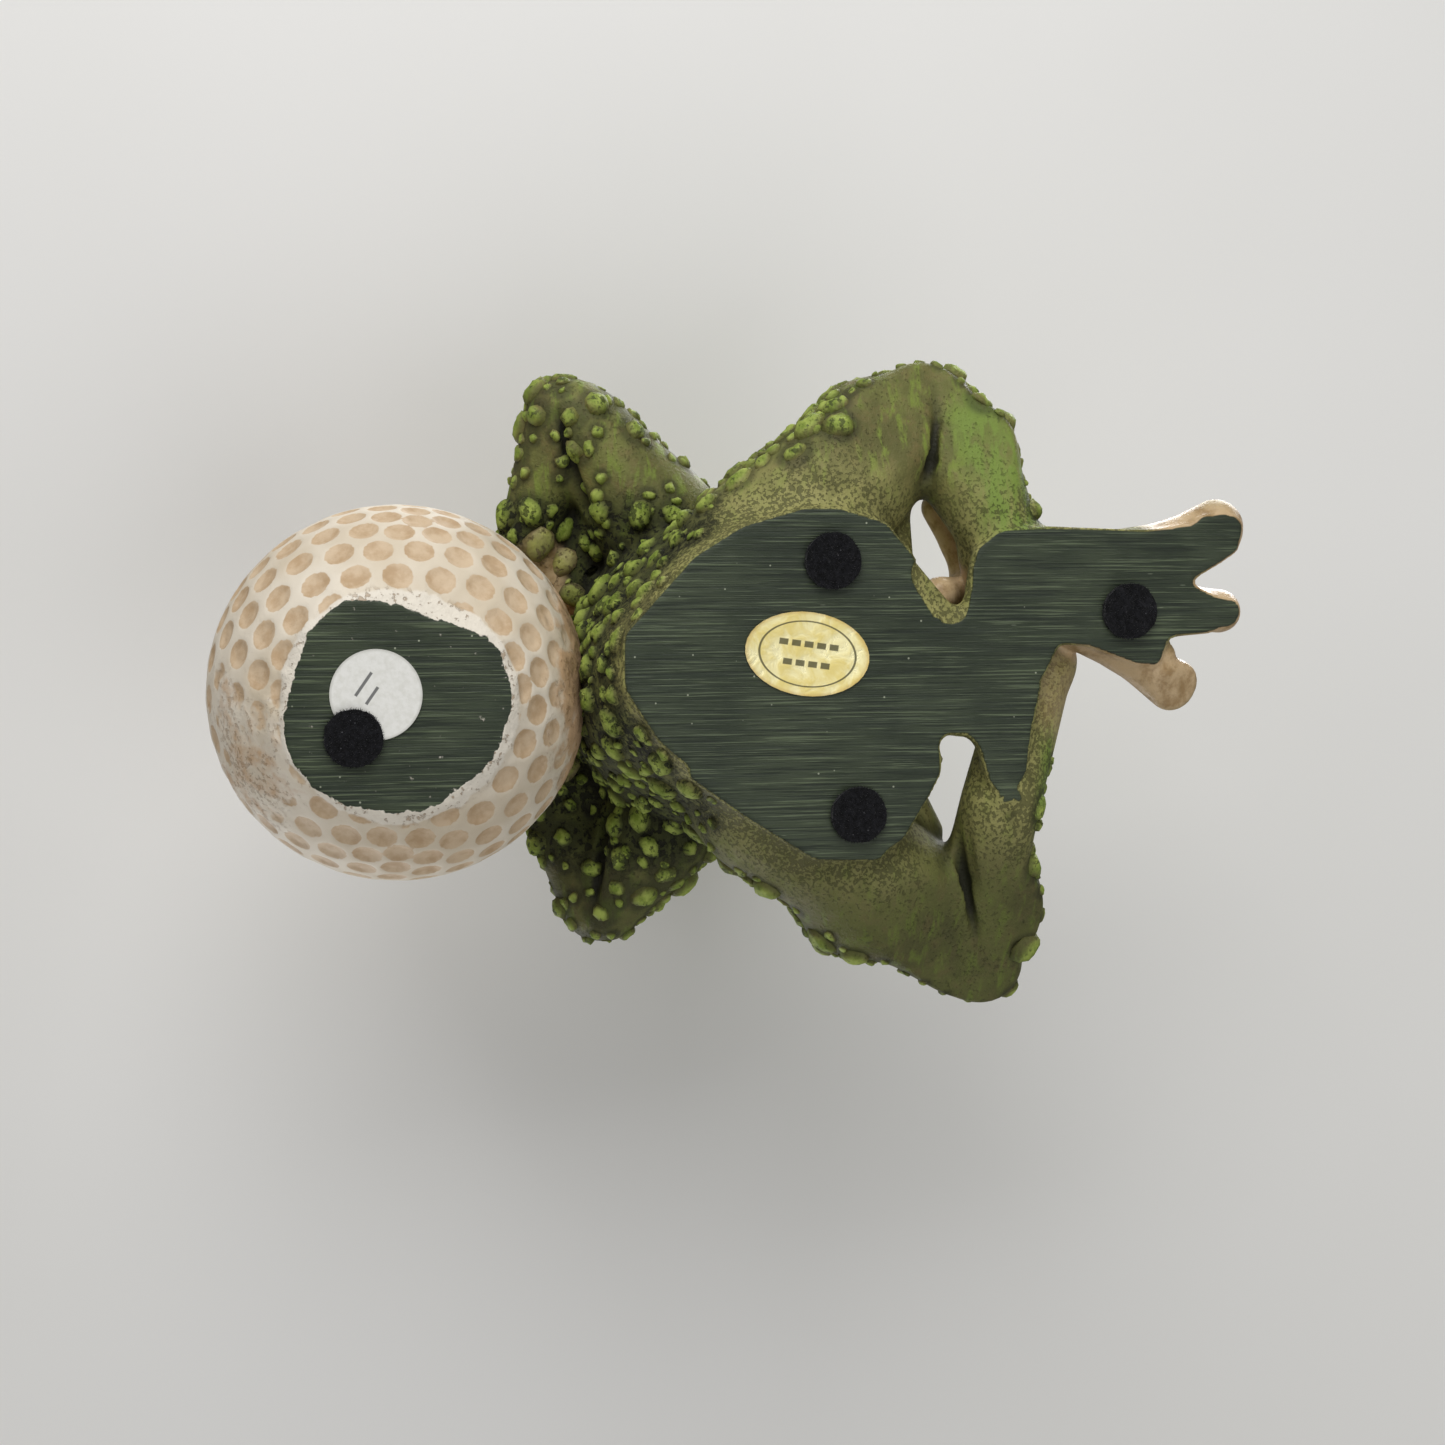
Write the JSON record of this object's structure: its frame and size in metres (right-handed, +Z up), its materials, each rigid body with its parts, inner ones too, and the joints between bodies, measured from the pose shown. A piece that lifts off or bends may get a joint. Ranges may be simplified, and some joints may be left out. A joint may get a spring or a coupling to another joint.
{
  "type": "frog and golf ball figurine",
  "caption": "Warty frog figurine with a ground flat sole and felt dots, lying back against a golf ball with its hands behind its head and its ankles crossed.",
  "frame": {"origin": "middle of the whole figurine, on the surface that it stands on", "axes": "+Z up, -Y where the toes point, +X the frog's left"},
  "size_m": [0.0738, 0.115, 0.061],
  "materials": {
    "painted_skin": "painted, dry-brushed, matt lacquer",
    "painted_ball": "painted, tan wash in the dimples",
    "glossy_eye": "gloss lacquer",
    "black_felt": "felt",
    "gold_foil": "bright foil",
    "white_paper": "coated paper",
    "steel_dowel": "drawn wire"
  },
  "bodies": {
    "root": {"torso_casting": "painted_skin", "head_casting": "painted_skin", "left_arm_casting": "painted_skin", "right_arm_casting": "painted_skin", "left_leg_casting": "painted_skin", "right_leg_casting": "painted_skin", "golf_ball_casting": "painted_ball", "left_eye": "glossy_eye", "right_eye": "glossy_eye", "felt_pad_seat_left": "black_felt", "felt_pad_seat_right": "black_felt", "felt_pad_foot": "black_felt", "felt_pad_ball": "black_felt", "foil_label": "gold_foil", "inspection_label": "white_paper", "neck_dowel": "steel_dowel", "left_shoulder_dowel": "steel_dowel", "right_shoulder_dowel": "steel_dowel", "left_hip_dowel": "steel_dowel", "right_hip_dowel": "steel_dowel", "ball_dowel": "steel_dowel"}
  },
  "joints": []
}
